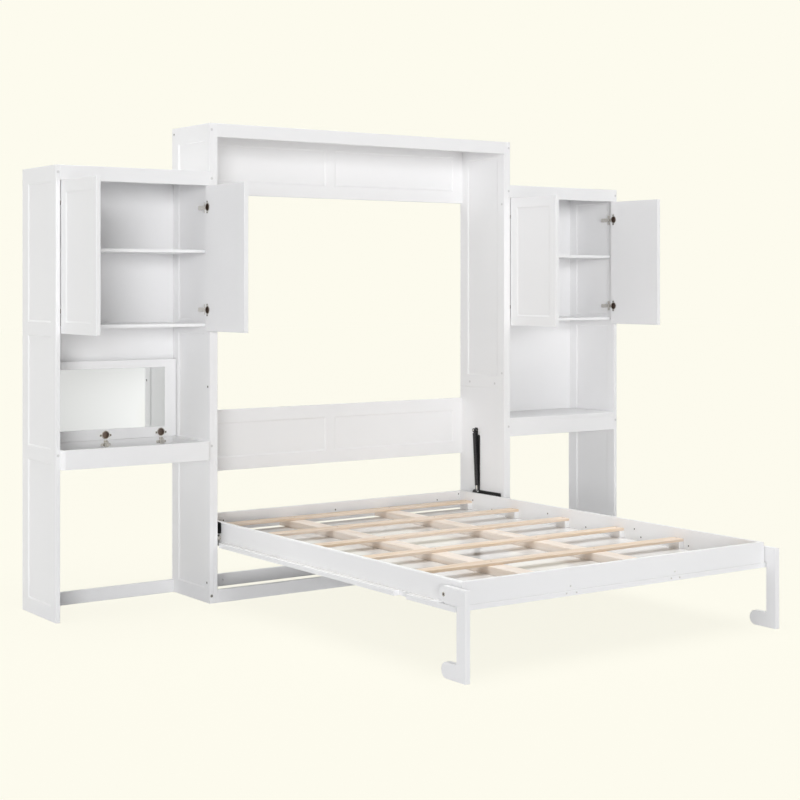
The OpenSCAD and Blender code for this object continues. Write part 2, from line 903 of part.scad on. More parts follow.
// A cylinder along a strut, from x0 to x1
module strut_bar(x0, x1, d) {
    translate([x0, 0, 0]) rotate([0, 90, 0]) cylinder(h = x1 - x0, d = d);
}

// A cylinder across a strut, from y0 to y1. Its +Y side faces the bed
module strut_cross(x, y0, y1, d) {
    translate([x, y0, 0]) rotate([-90, 0, 0]) cylinder(h = y1 - y0, d = d);
}

module strut_tube(s) {
    tube_x0 = eye_r + eye_neck;
    color(black_steel) at_side(s) along_strut() difference() {
        union() {
            strut_cross(0, -eye_t / 2, eye_t / 2, 2 * eye_r);
            strut_bar(eye_r / 2, tube_x0 + 1, strut_stud_d);
            strut_bar(tube_x0, tube_x0 + strut_tube_len, strut_d);
        }
        strut_cross(0, -eye_t, eye_t, strut_stud_d + 2 * pin_play);
        strut_bar(tube_x0 + tube_end_t, tube_x0 + strut_tube_len + over, strut_rod_d + 2 * pin_play);
    }
}

// The rod with the eye and the stud at its foot, which stops short of the plate on the rail
module strut_rod(s) {
    rod_x0 = eye_r + eye_neck + tube_end_t + tube_rod_play;
    color(bright_steel) at_side(s) along_strut() {
        strut_bar(rod_x0, strut_len - eye_r / 2, strut_rod_d);
        strut_cross(strut_len, -eye_t / 2, eye_t / 2, 2 * eye_r);
        strut_cross(strut_len, 0, strut_x - arm_plate_x - plate_t - plate_air, strut_stud_d);
    }
}

// =====================================================================

outer_panel(-1);  // outer_left_panel
outer_panel(1);  // outer_right_panel
centre_panel(-1);  // centre_left_panel
centre_panel(1);  // centre_right_panel
upper_lining(-1);  // upper_left_lining
upper_lining(1);  // upper_right_lining
lower_lining(-1);  // lower_left_lining
lower_lining(1);  // lower_right_lining
crown_board();
portal_top_board();
upper_back_panel();
headboard_panel();
portal_front_floor_rail();
portal_rear_floor_rail();
tower_top(-1);  // left_tower_top
tower_top(1);  // right_tower_top
tower_crown(-1);  // left_tower_crown
tower_crown(1);  // right_tower_crown
shelves(-1);  // left_shelves
shelves(1);  // right_shelves
tower_back(-1);  // left_back_panel
tower_back(1);  // right_back_panel
tower_floor_rail(-1);  // left_floor_rail
tower_floor_rail(1);  // right_floor_rail
tray_bottom();
tray_apron();
tray_rear_wall();
tray_sides();
desk_lid();
mirror_pane();  // mirror
lid_hinge_cups();
right_desk_top();
right_desk_apron();
door(-1, -1);  // door_1
door(-1, 1);  // door_2
door(1, -1);  // door_3
door(1, 1);  // door_4
door_cups(-1, -1);  // door_1_hinge_cups
door_cups(-1, 1);  // door_2_hinge_cups
door_cups(1, -1);  // door_3_hinge_cups
door_cups(1, 1);  // door_4_hinge_cups
hinge_plates();
cover_caps();
bed_rail(-1);  // bed_left_rail
bed_rail(1);  // bed_right_rail
end_board(head_y - end_board_t);  // bed_head_board
end_board(foot_y);  // bed_foot_board
face_panel();
slat_cleats();
cross_slats();
support_beams();
leg(-1);  // left_leg
leg(1);  // right_leg
leg_bolts();
union() {  // lift_frame_plates
    lift_frame_plate(-1);
    lift_frame_plate(1);
}
union() {  // lift_arm_plates
    lift_arm_plate(-1);
    lift_arm_plate(1);
}
strut_tube(-1);  // strut_tube_left
strut_tube(1);  // strut_tube_right
strut_rod(-1);  // strut_rod_left
strut_rod(1);  // strut_rod_right
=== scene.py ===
"""Looks of the wall bed: finishes, softened edges, pine slats, screws, hinges and struts."""
import json
import math

import bmesh
import bpy
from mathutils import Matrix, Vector


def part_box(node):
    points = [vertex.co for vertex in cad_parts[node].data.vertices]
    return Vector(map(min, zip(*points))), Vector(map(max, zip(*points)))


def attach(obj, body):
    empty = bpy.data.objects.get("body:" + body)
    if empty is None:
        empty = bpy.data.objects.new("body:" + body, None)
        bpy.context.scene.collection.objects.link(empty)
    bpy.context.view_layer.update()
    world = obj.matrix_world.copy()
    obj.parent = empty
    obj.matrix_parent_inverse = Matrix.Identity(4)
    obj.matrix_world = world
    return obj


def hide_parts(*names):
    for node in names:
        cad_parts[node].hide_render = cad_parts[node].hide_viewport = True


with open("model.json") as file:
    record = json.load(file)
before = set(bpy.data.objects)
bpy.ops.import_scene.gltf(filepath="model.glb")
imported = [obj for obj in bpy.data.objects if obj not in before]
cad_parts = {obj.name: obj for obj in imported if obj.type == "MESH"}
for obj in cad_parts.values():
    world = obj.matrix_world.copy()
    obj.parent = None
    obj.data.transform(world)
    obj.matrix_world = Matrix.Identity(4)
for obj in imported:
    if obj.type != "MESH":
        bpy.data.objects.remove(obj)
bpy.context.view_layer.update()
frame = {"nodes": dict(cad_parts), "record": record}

MM = 0.001

# ---- the view of the photograph
CAMERA_PLACE = (-4.292, -6.703, 1.414)
CAMERA_TURN = 35.17
CAMERA_LENS = 72.69
CAMERA_SHIFT = -0.14375

# ---- places that several pieces share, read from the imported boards, in metres
rail_in_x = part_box("bed_head_board")[1].x
rail_out_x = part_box("bed_right_rail")[1].x
head_in_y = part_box("bed_head_board")[0].y
foot_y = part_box("bed_foot_board")[0].y
face_top_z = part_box("face_panel")[1].z
lining_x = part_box("lower_right_lining")[0].x
centre_out_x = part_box("centre_right_panel")[1].x
outer_in_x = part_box("outer_right_panel")[0].x
unit_front_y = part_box("centre_right_panel")[0].y


# =====================================================================
# Small helpers

def rgb(code):
    """An sRGB hex colour as linear values."""
    parts = [int(code[i:i + 2], 16) / 255 for i in (1, 3, 5)]
    return [p / 12.92 if p <= 0.04045 else ((p + 0.055) / 1.055) ** 2.4 for p in parts] + [1]


def add(tree, kind, settings=None, inputs=None):
    """Adds a node with its settings. An input is a value, or a socket that is linked to it."""
    node = tree.nodes.new(kind)
    for name, value in (settings or {}).items():
        setattr(node, name, value)
    for name, value in (inputs or {}).items():
        if isinstance(value, bpy.types.NodeSocket):
            tree.links.new(value, node.inputs[name])
        else:
            node.inputs[name].default_value = value
    return node


def link(obj):
    bpy.context.scene.collection.objects.link(obj)
    return obj


def belongs(obj, body, slot, *nodes):
    """Says which body a piece rides on and which nodes it stands for. slot, its finish, is not used."""
    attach(obj, body)
    if nodes:
        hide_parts(*nodes)
    return obj


def body_of(node):
    for name, members in frame["record"]["behaviour"]["bodies"].items():
        if node in members:
            return name


# =====================================================================
# Finishes

def finish_of(name):
    made = bpy.data.materials.new(name)
    made.use_nodes = True
    made.node_tree.nodes.clear()
    return made, made.node_tree


def two_tones(tree, value, deep, pale, low, high):
    """A ramp from one colour to another, between two levels of a pattern."""
    ramp = add(tree, "ShaderNodeValToRGB", None, {"Fac": value})
    for part, place, code in zip(ramp.color_ramp.elements, (low, high), (deep, pale)):
        part.position = place
        part.color = rgb(code)
    return ramp.outputs["Color"]


LACQUER_IOR = 1.5
DRIFT_MM = 1000 / 1.7
PEEL_SHEEN = 0.04


def sprayed_paint(name, pale, deep, rough, peel_mm):
    """Sprayed lacquer on board: even, with a drift of tone over about 600 mm where the coat is thicker,
    and the faint orange peel of the gun. Real orange peel is about 2 mm across and is drawn coarser."""
    made, tree = finish_of(name)
    place = add(tree, "ShaderNodeTexCoord").outputs["Object"]
    drift = add(
        tree, "ShaderNodeTexNoise", None,
        {"Vector": place, "Scale": 1 / (DRIFT_MM * MM), "Detail": 3, "Roughness": 0.45}
    )
    peel = add(tree, "ShaderNodeTexNoise", None, {"Vector": place, "Scale": 1 / (peel_mm * MM), "Detail": 2})
    gloss = add(
        tree, "ShaderNodeMapRange", None,
        {"Value": peel.outputs["Fac"], "From Min": 0.3, "From Max": 0.7,
         "To Min": max(rough - PEEL_SHEEN, 0), "To Max": rough + PEEL_SHEEN}
    )
    bump = add(
        tree, "ShaderNodeBump", None, {"Height": peel.outputs["Fac"], "Strength": 0.1, "Distance": 0.2 * MM}
    )
    skin = add(
        tree, "ShaderNodeBsdfPrincipled", None,
        {"Base Color": two_tones(tree, drift.outputs["Fac"], deep, pale, 0.35, 0.65),
         "Roughness": gloss.outputs["Result"], "IOR": LACQUER_IOR, "Normal": bump.outputs["Normal"]}
    )
    add(tree, "ShaderNodeOutputMaterial", None, {"Surface": skin.outputs["BSDF"]})
    return made


# how often the grain repeats in a metre, along the board and across it: a growth ring is about 8 mm wide
# and runs on for half a metre, a fibre is 1.5 mm wide, and there is a knot to about 400 mm of board
RINGS = (2.2, 60, 60)
FIBRES = (9, 330, 330)
KNOTS = (2.6, 9, 9)
KNOT_BROWN = "#B07F55"
WOOD_IOR = 1.5


def planed_pine(name, pale, ring, turn):
    """Planed pine without varnish: pale sapwood with soft growth rings drawn out along the board, fine
    fibres and a small brown knot here and there. turn lays the grain, which runs along X at 0."""
    made, tree = finish_of(name)
    place = add(tree, "ShaderNodeTexCoord").outputs["Object"]
    board = add(tree, "ShaderNodeAttribute", {"attribute_name": "board"}).outputs["Vector"]
    own = add(tree, "ShaderNodeVectorMath", {"operation": "ADD"}, {0: place, 1: board}).outputs["Vector"]
    laid = add(tree, "ShaderNodeMapping", None, {"Vector": own, "Rotation": (0, 0, turn)}).outputs["Vector"]
    long_rings = add(tree, "ShaderNodeMapping", None, {"Vector": laid, "Scale": RINGS}).outputs["Vector"]
    rings = add(
        tree, "ShaderNodeTexNoise", None, {"Vector": long_rings, "Scale": 1, "Detail": 3, "Distortion": 0.5}
    )
    long_fibres = add(tree, "ShaderNodeMapping", None, {"Vector": laid, "Scale": FIBRES}).outputs["Vector"]
    fibres = add(tree, "ShaderNodeTexNoise", None, {"Vector": long_fibres, "Scale": 1, "Detail": 2})
    spread = add(tree, "ShaderNodeMapping", None, {"Vector": laid, "Scale": KNOTS}).outputs["Vector"]
    knots = add(tree, "ShaderNodeTexVoronoi", None, {"Vector": spread, "Scale": 1})
    knot = add(
        tree, "ShaderNodeMapRange", None,
        {"Value": knots.outputs["Distance"], "From Min": 0.02, "From Max": 0.09, "To Min": 0.7, "To Max": 0.0}
    )
    streak = add(
        tree, "ShaderNodeMapRange", None,
        {"Value": fibres.outputs["Fac"], "From Min": 0.35, "From Max": 0.65, "To Min": 0.0, "To Max": 0.22}
    )
    grained = add(
        tree, "ShaderNodeMix", {"data_type": "RGBA"},
        {"Factor": streak.outputs["Result"],
         "A": two_tones(tree, rings.outputs["Fac"], ring, pale, 0.36, 0.6), "B": rgb(ring)}
    )
    whole = add(
        tree, "ShaderNodeMix", {"data_type": "RGBA"},
        {"Factor": knot.outputs["Result"], "A": grained.outputs["Result"], "B": rgb(KNOT_BROWN)}
    )
    bump = add(
        tree, "ShaderNodeBump", None, {"Height": fibres.outputs["Fac"], "Strength": 0.2, "Distance": 0.3 * MM}
    )
    skin = add(
        tree, "ShaderNodeBsdfPrincipled", None,
        {"Base Color": whole.outputs["Result"], "Roughness": 0.6, "IOR": WOOD_IOR, "Normal": bump.outputs["Normal"]}
    )
    add(tree, "ShaderNodeOutputMaterial", None, {"Surface": skin.outputs["BSDF"]})
    return made


def metal(name, pale, deep, rough, grit_mm, metallic=1.0, grit_depth_mm=0.05):
    """Plated, coated or polished steel. The grain of the coat breaks up its gloss."""
    made, tree = finish_of(name)
    place = add(tree, "ShaderNodeTexCoord").outputs["Object"]
    grit = add(tree, "ShaderNodeTexNoise", None, {"Vector": place, "Scale": 1 / (grit_mm * MM), "Detail": 3})
    gloss = add(
        tree, "ShaderNodeMapRange", None,
        {"Value": grit.outputs["Fac"], "From Min": 0.3, "From Max": 0.7,
         "To Min": max(rough - 0.05, 0), "To Max": rough + 0.06}
    )
    bump = add(
        tree, "ShaderNodeBump", None, {"Height": grit.outputs["Fac"], "Strength": 0.3, "Distance": grit_depth_mm * MM}
    )
    skin = add(
        tree, "ShaderNodeBsdfPrincipled", None,
        {"Base Color": two_tones(tree, grit.outputs["Fac"], deep, pale, 0.3, 0.7),
         "Roughness": gloss.outputs["Result"], "Metallic": metallic, "Normal": bump.outputs["Normal"]}
    )
    add(tree, "ShaderNodeOutputMaterial", None, {"Surface": skin.outputs["BSDF"]})
    return made


# satin lacquer: an even white with a broad soft sheen and no mirror image
white = sprayed_paint("satin_white_lacquer", "#FAFAFB", "#F7F7F8", rough=0.4, peel_mm=7)
# the bed's floor is a smooth coated board: at a low angle it shows the slats over it as blurred streaks
floor_white = sprayed_paint("smooth_white_lacquer_of_the_bed_floor", "#F3F2F0", "#EEEDEB", rough=0.1, peel_mm=60)
# unvarnished pine: warm and dull, and the slats are a shade deeper than the beams under them
slat_pine = planed_pine("planed_pine_of_the_slats", "#F1E2D4", "#E6CFB5", turn=0)
beam_pine = planed_pine("planed_pine_of_the_beams", "#FAF0E7", "#F4E5D6", turn=math.radians(90))
# powder coat: nearly black, with a grainy grey sheen; the struts' tubes are painted, so smoother
powder_black = metal("black_powder_coat", "#262628", "#171719", rough=0.4, grit_mm=1.5, metallic=0.0)
tube_black = metal(
    "satin_black_tube", "#2C2C2F", "#202023", rough=0.3, grit_mm=2.5, metallic=0.0, grit_depth_mm=0.02
)
# zinc plate: a light warm grey with blurred highlights; the polished rods have sharp ones
zinc = metal("bright_zinc_plate", "#E6E3DD", "#CFCBC4", rough=0.24, grit_mm=4)
chrome = metal("polished_rod", "#F2F2F2", "#E6E6E6", rough=0.16, grit_mm=8)
# pressed and blackened steel on screws, dark brown-grey spots on the white; inside the hinge cups and on the front
# ends of the hinge arms it is painted shade
dark_steel_and_painted_shade = metal("dark_pressed_steel_and_painted_shade", "#94857C", "#6E6058", rough=0.38, grit_mm=3)
screw_dark = metal("blackened_screw_steel", "#57504A", "#3A342F", rough=0.42, grit_mm=2)
# silvered glass: a flawless image of the room, a trace greener than it
silvered = metal("silvered_mirror_glass", "#F6F7F6", "#F3F5F4", rough=0.0, grit_mm=400, grit_depth_mm=0.0)
# moulded caps are a touch greyer than the lacquer, and a bore or socket gets painted shade in dark brown
cap_white = sprayed_paint("moulded_cap_plastic", "#E4E4E4", "#DCDCDC", rough=0.35, peel_mm=4)
painted_bore_shade = sprayed_paint("bore_and_socket_painted_shade", "#6E655D", "#4B443E", rough=0.8, peel_mm=3)


# =====================================================================
# Boards and steel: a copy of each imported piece, with the small rounded edges of the real one

ROUNDED_FROM = math.radians(50)
CREASED_FROM = math.radians(20)


def islands(form):
    """The separate solids of a mesh, as lists of vertices."""
    left = set(form.verts)
    while left:
        group = []
        rim = [left.pop()]
        while rim:
            vert = rim.pop()
            group.append(vert)
            for near in [e.other_vert(vert) for e in vert.link_edges]:
                if near in left:
                    left.remove(near)
                    rim.append(near)
        yield group


def box_of(verts):
    low = [min(v.co[i] for v in verts) for i in range(3)]
    high = [max(v.co[i] for v in verts) for i in range(3)]
    return Vector([(a + b) / 2 for a, b in zip(low, high)]), [b - a for a, b in zip(low, high)]


def softened(node, finishes, width_mm, slot, pick=None, wide=None, wide_mm=0.0):
    """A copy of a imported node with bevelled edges, which stands for it. Lesser angles, as around a sunk
    field, stay as creases. pick gives a face's finish by number, and wide says which edges are rounded
    by wide_mm instead."""
    mesh = frame["nodes"][node].data.copy()
    form = bmesh.new()
    form.from_mesh(mesh)
    bmesh.ops.remove_doubles(form, verts=form.verts, dist=0.01 * MM)
    bmesh.ops.dissolve_limit(form, angle_limit=math.radians(1), verts=form.verts, edges=form.edges)
    largest = max(width_mm, wide_mm)
    weight = form.edges.layers.float.new("bevel_weight_edge")
    mesh.materials.clear()
    for finish in finishes:
        mesh.materials.append(finish)
    for face in form.faces:
        face.material_index = 0
        face.smooth = True
    for edge in form.edges:
        angle = edge.calc_face_angle(0) if len(edge.link_faces) == 2 else 0
        edge.smooth = angle < CREASED_FROM
        if angle > ROUNDED_FROM:
            edge[weight] = (wide_mm if wide and wide(edge) else width_mm) / largest
    if pick:
        for group in islands(form):
            centre, size = box_of(group)
            for face in {f for v in group for f in v.link_faces}:
                face.material_index = pick(face, centre, size)
    form.to_mesh(mesh)
    form.free()
    obj = link(bpy.data.objects.new(node + "_finished", mesh))
    bevel = obj.modifiers.new("edges", "BEVEL")
    bevel.width = largest * MM
    bevel.segments = 2
    bevel.limit_method = "WEIGHT"
    return belongs(obj, body_of(node), slot, node)


# rounded edges, in millimetres
BOARD_EDGE = 1.5
THIN_EDGE = 1.0
STEEL_EDGE = 0.4
PANEL_EDGE = 0.6
PANEL_RIM = 3.0
GLASS_EDGE = 0.5
CAP_EDGE = 0.3

BOARDS = [
    "outer_left_panel", "centre_left_panel", "centre_right_panel", "outer_right_panel",
    "upper_left_lining", "upper_right_lining", "lower_left_lining", "lower_right_lining",
    "crown_board", "portal_top_board", "upper_back_panel", "headboard_panel",
    "portal_front_floor_rail", "portal_rear_floor_rail",
    "left_tower_top", "right_tower_top", "left_tower_crown", "right_tower_crown",
    "left_back_panel", "right_back_panel", "left_floor_rail", "right_floor_rail",
    "tray_bottom", "tray_apron", "tray_rear_wall", "tray_sides",
    "right_desk_top", "right_desk_apron", "door_1", "door_2", "door_3", "door_4",
    "bed_left_rail", "bed_right_rail", "bed_head_board", "bed_foot_board", "left_leg", "right_leg"
]
for board in BOARDS:
    softened(board, [white], BOARD_EDGE, "white_paint")
for board in ("left_shelves", "right_shelves", "desk_lid", "slat_cleats"):
    softened(board, [white], THIN_EDGE, "white_paint")


def floor_or_edge(face, centre, size):
    """The bed floor, inside the rails, is smoother than the edges of its board."""
    return 1 if face.normal.z > 0.9 and abs(face.calc_center_median().x) < rail_in_x else 0


def outer_top_edge(edge):
    """The upper outer edges of the face panel, beyond the rails, are rounded more."""
    return all(v.co.z > face_top_z - MM and abs(v.co.x) > rail_out_x + 20 * MM for v in edge.verts)


softened("face_panel", [white, floor_white], PANEL_EDGE, "white_paint", floor_or_edge, outer_top_edge, PANEL_RIM)

# ---- steel
FRAME_PLATE_T = 4 * MM
frame_plate_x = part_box("lift_frame_plates")[1].x - FRAME_PLATE_T
CUP_BORE = 16.4 * MM


def pin_or_plate(face, centre, size):
    """The pins and studs of the lifting gear are bright, and the plates that carry them are black."""
    return 1 if abs(face.calc_center_median().x) < frame_plate_x - 0.2 * MM else 0


def painted_cup_shade_or_flange(face, centre, size):
    """The inside of a hinge cup is painted dark as the shade of its recess, its flange bright. The cup's axis is the
    solid's short side.
    """
    depth = size.index(min(size))

    def from_axis(vert):
        away = vert.co - centre
        away[depth] = 0
        return away.length

    return 1 if max(from_axis(v) for v in face.verts) < CUP_BORE else 0


softened("lift_frame_plates", [powder_black, zinc], STEEL_EDGE, "black_steel", pin_or_plate)
softened("lift_arm_plates", [powder_black], STEEL_EDGE, "black_steel")
for side in ("left", "right"):
    softened("strut_tube_" + side, [tube_black], STEEL_EDGE, "black_steel")
    softened("strut_rod_" + side, [chrome], STEEL_EDGE, "bright_steel")
softened("leg_bolts", [zinc], STEEL_EDGE, "bright_steel")


def painted_shade_on_arm_front(face, centre, size):
    """The front end of a hinge arm, inside the gap beside its door, gets the dark finish as painted shade: the gap's
    shadow painted on the zinc.
    """
    return 1 if face.calc_center_median().y < unit_front_y + 6 * MM else 0


# the hinge arms are zinc; their front ends are painted dark as the shade of the gap
softened("hinge_plates", [zinc, dark_steel_and_painted_shade], STEEL_EDGE, "bright_steel", painted_shade_on_arm_front)
# inside each cup the dark finish is painted shade of the recess
for node in ("lid_hinge_cups", "door_1_hinge_cups", "door_2_hinge_cups", "door_3_hinge_cups", "door_4_hinge_cups"):
    softened(node, [zinc, dark_steel_and_painted_shade], STEEL_EDGE, "bright_steel", painted_cup_shade_or_flange)
softened("mirror", [silvered], GLASS_EDGE, "mirror_glass")
caps = softened("cover_caps", [cap_white], CAP_EDGE, "cap_plastic")
CAP_REACH = 2 * MM
CAP_LEFT = 0.5
for vert in caps.data.vertices:
    # the caps inside the portal stand out only half as far, because the shut bed passes them
    out = lining_x - abs(vert.co.x)
    if 0 < out < CAP_REACH:
        vert.co.x = math.copysign(lining_x - out * CAP_LEFT, vert.co.x)


# =====================================================================
# What repeats: slats, beams and screws, each made by a tree with its sizes as named inputs

def new_tree(name, sizes):
    """A geometry tree with a geometry input and output, and a named input for each size."""
    tree = bpy.data.node_groups.new(name, "GeometryNodeTree")
    tree.interface.new_socket("Geometry", in_out="INPUT", socket_type="NodeSocketGeometry")
    tree.interface.new_socket("Geometry", in_out="OUTPUT", socket_type="NodeSocketGeometry")
    for label, kind in sizes.items():
        tree.interface.new_socket(label, in_out="INPUT", socket_type="NodeSocket" + kind)
    return tree, add(tree, "NodeGroupInput").outputs, add(tree, "NodeGroupOutput")


def grown(name, tree, values, mesh=None):
    """Runs a tree on a mesh with these values for its inputs and keeps the result as a plain mesh."""
    seed = link(bpy.data.objects.new(name + "_seed", mesh or bpy.data.meshes.new(name + "_seed")))
    modifier = seed.modifiers.new("grow", "NODES")
    modifier.node_group = tree
    sockets = {s.name: s.identifier for s in tree.interface.items_tree if s.in_out == "INPUT"}
    for label, value in values.items():
        modifier[sockets[label]] = value
    seed.update_tag()
    depsgraph = bpy.context.evaluated_depsgraph_get()
    made = bpy.data.meshes.new_from_object(seed.evaluated_get(depsgraph))
    made.name = name
    bpy.data.objects.remove(seed)
    return link(bpy.data.objects.new(name, made))


GRAIN_SEED = 7


def timber_row_tree():
    """Boards side by side: a rounded section drawn along X, repeated by a step and turned as one."""
    tree, given, out = new_tree("timber_row", {
        "Count": "Int", "First": "Vector", "Step": "Vector", "Length": "Float", "Width": "Float",
        "Thickness": "Float", "Edge Radius": "Float", "Turn": "Vector", "Finish": "Material"
    })
    half = add(tree, "ShaderNodeMath", {"operation": "MULTIPLY"}, {0: given["Length"], 1: 0.5}).outputs[0]
    back = add(tree, "ShaderNodeMath", {"operation": "MULTIPLY"}, {0: given["Length"], 1: -0.5}).outputs[0]
    start = add(tree, "ShaderNodeCombineXYZ", None, {"X": back}).outputs[0]
    end = add(tree, "ShaderNodeCombineXYZ", None, {"X": half}).outputs[0]
    line = add(tree, "GeometryNodeCurvePrimitiveLine", None, {"Start": start, "End": end}).outputs["Curve"]
    section = add(
        tree, "GeometryNodeCurvePrimitiveQuadrilateral", None, {"Width": given["Width"], "Height": given["Thickness"]}
    ).outputs["Curve"]
    rounded = add(
        tree, "GeometryNodeFilletCurve", {"mode": "POLY"},
        {"Curve": section, "Radius": given["Edge Radius"], "Count": 3}
    ).outputs["Curve"]
    board = add(
        tree, "GeometryNodeCurveToMesh", None, {"Curve": line, "Profile Curve": rounded, "Fill Caps": True}
    ).outputs["Mesh"]
    row = add(
        tree, "GeometryNodeMeshLine", None,
        {"Count": given["Count"], "Start Location": given["First"], "Offset": given["Step"]}
    ).outputs["Mesh"]
    stood = add(
        tree, "GeometryNodeInstanceOnPoints", None, {"Points": row, "Instance": board, "Rotation": given["Turn"]}
    ).outputs["Instances"]
    own_grain = add(
        tree, "FunctionNodeRandomValue", {"data_type": "FLOAT_VECTOR"},
        {"Min": (-9, -9, -9), "Max": (9, 9, 9), "Seed": GRAIN_SEED}
    ).outputs["Value"]
    marked = add(
        tree, "GeometryNodeStoreNamedAttribute", {"data_type": "FLOAT_VECTOR", "domain": "INSTANCE"},
        {"Geometry": stood, "Name": "board", "Value": own_grain}
    ).outputs["Geometry"]
    real = add(tree, "GeometryNodeRealizeInstances", None, {"Geometry": marked}).outputs["Geometry"]
    done = add(tree, "GeometryNodeSetMaterial", None, {"Geometry": real, "Material": given["Finish"]})
    tree.links.new(done.outputs["Geometry"], out.inputs["Geometry"])
    return tree


timber_row = timber_row_tree()


TIMBER_EDGE = 2 * MM


def row_of_timber(name, node, along, count, width, finish):
    """Stands for a packed row of boards. along is the axis that the boards run on."""
    low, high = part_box(node)
    across = 1 - along
    middle = (low + high) / 2
    first = Vector(middle)
    first[across] = low[across] + width / 2
    step = Vector((0, 0, 0))
    step[across] = (high[across] - low[across] - width) / (count - 1)
    obj = grown(name, timber_row, {
        "Count": count, "First": first, "Step": step, "Length": high[along] - low[along], "Width": width,
        "Thickness": high.z - low.z, "Edge Radius": TIMBER_EDGE,
        "Turn": (0, 0, math.radians(90) * along), "Finish": finish
    })
    form = bmesh.new()
    form.from_mesh(obj.data)
    bmesh.ops.remove_doubles(form, verts=form.verts, dist=0.01 * MM)
    bmesh.ops.recalc_face_normals(form, faces=form.faces)
    form.to_mesh(obj.data)
    form.free()
    return belongs(obj, "bed", "pine", node)


SLAT_COUNT = 6
SLAT_W = 65 * MM
BEAM_COUNT = 2
BEAM_W = 80 * MM
row_of_timber("pine_slats", "cross_slats", 0, SLAT_COUNT, SLAT_W, slat_pine)
row_of_timber("pine_beams", "support_beams", 1, BEAM_COUNT, BEAM_W, beam_pine)


HEAD_TAPER = 0.86
HEAD_SIDES = 20


def screw_tree():
    """A round head, a little narrower at its top, with a centre of another finish that stands just proud
    of it. One is set on each point, turned to face outwards, with half of its height sunk."""
    tree, given, out = new_tree("screws", {
        "Head Diameter": "Float", "Head Height": "Float", "Centre Diameter": "Float", "Centre Height": "Float",
        "Centre Sides": "Int", "Head Finish": "Material", "Centre Finish": "Material"
    })

    def disc(sides, diameter, height, finish):
        radius = add(tree, "ShaderNodeMath", {"operation": "MULTIPLY"}, {0: diameter, 1: 0.5}).outputs[0]
        top = add(tree, "ShaderNodeMath", {"operation": "MULTIPLY"}, {0: radius, 1: HEAD_TAPER}).outputs[0]
        sunk = add(tree, "ShaderNodeMath", {"operation": "MULTIPLY"}, {0: height, 1: -0.5}).outputs[0]
        lowered = add(tree, "ShaderNodeCombineXYZ", None, {"Z": sunk}).outputs[0]
        form = add(
            tree, "GeometryNodeMeshCone", None,
            {"Vertices": sides, "Radius Bottom": radius, "Radius Top": top, "Depth": height}
        ).outputs["Mesh"]
        moved = add(tree, "GeometryNodeTransform", None, {"Geometry": form, "Translation": lowered})
        return add(
            tree, "GeometryNodeSetMaterial", None, {"Geometry": moved.outputs["Geometry"], "Material": finish}
        ).outputs["Geometry"]

    both = add(tree, "GeometryNodeJoinGeometry")
    head = disc(HEAD_SIDES, given["Head Diameter"], given["Head Height"], given["Head Finish"])
    centre = disc(given["Centre Sides"], given["Centre Diameter"], given["Centre Height"], given["Centre Finish"])
    tree.links.new(head, both.inputs[0])
    tree.links.new(centre, both.inputs[0])
    facing = add(tree, "GeometryNodeInputNamedAttribute", {"data_type": "FLOAT_VECTOR"}, {"Name": "facing"})
    turn = add(
        tree, "FunctionNodeAlignRotationToVector", {"axis": "Z"}, {"Vector": facing.outputs["Attribute"]}
    ).outputs["Rotation"]
    set_in = add(
        tree, "GeometryNodeInstanceOnPoints", None,
        {"Points": given["Geometry"], "Instance": both.outputs[0], "Rotation": turn}
    ).outputs["Instances"]
    real = add(tree, "GeometryNodeRealizeInstances", None, {"Geometry": set_in}).outputs["Geometry"]
    tree.links.new(real, out.inputs["Geometry"])
    return tree


screws = screw_tree()


def set_screws(name, body, slot, places, finishes, head_mm, centre_mm, sides=6, heights_mm=(1.2, 1.5)):
    """Screws at (x, y, z) in millimetres, each with the way that it faces. finishes and heights_mm are
    those of the head and of its centre, and sides is the number of the centre's sides."""
    mesh = bpy.data.meshes.new(name + "_places")
    mesh.from_pydata([Vector(p) * MM for p, way in places], [], [])
    facing = mesh.attributes.new("facing", "FLOAT_VECTOR", "POINT")
    for i, (p, way) in enumerate(places):
        facing.data[i].vector = way
    obj = grown(name, screws, {
        "Head Diameter": head_mm * MM, "Head Height": heights_mm[0] * MM, "Centre Diameter": centre_mm * MM,
        "Centre Height": heights_mm[1] * MM, "Centre Sides": sides,
        "Head Finish": finishes[0], "Centre Finish": finishes[1]
    }, mesh)
    return belongs(obj, body, slot)


LEFT, RIGHT, FRONT, UP = (-1, 0, 0), (1, 0, 0), (0, -1, 0), (0, 0, 1)
in_x = rail_in_x / MM
slat_low, slat_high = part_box("cross_slats")
slat_top = slat_high.z / MM
slat_step = (slat_high.y - slat_low.y - SLAT_W) / (SLAT_COUNT - 1) / MM
slat_ys = [slat_high.y / MM - SLAT_W / MM / 2 - i * slat_step for i in range(SLAT_COUNT)]
beam_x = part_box("support_beams")[1].x / MM - BEAM_W / MM / 2

# ---- bed: screws through the rails and the head board, and down through the slats. Their places are
# those of the dots in the photographed boards, in millimetres
RAIL_SCREW_YS, RAIL_SCREW_Z = (-169, -757, -1358, -1955), 314
CLEAT_SCREW_YS, CLEAT_SCREW_Z = (-1031, -1400, -1696), 282
HEAD_SCREW_XS, HEAD_SCREW_Z = (-621, 2, 621), 315
CORNER_SCREW_XS, CORNER_SCREW_Z = (-758, 758), 336
SLAT_SCREW_IN = 14
FOOT_BOLTS = [(-272, 283), (-292, 257), (-241, 256), (274, 282), (254, 257), (300, 256)]

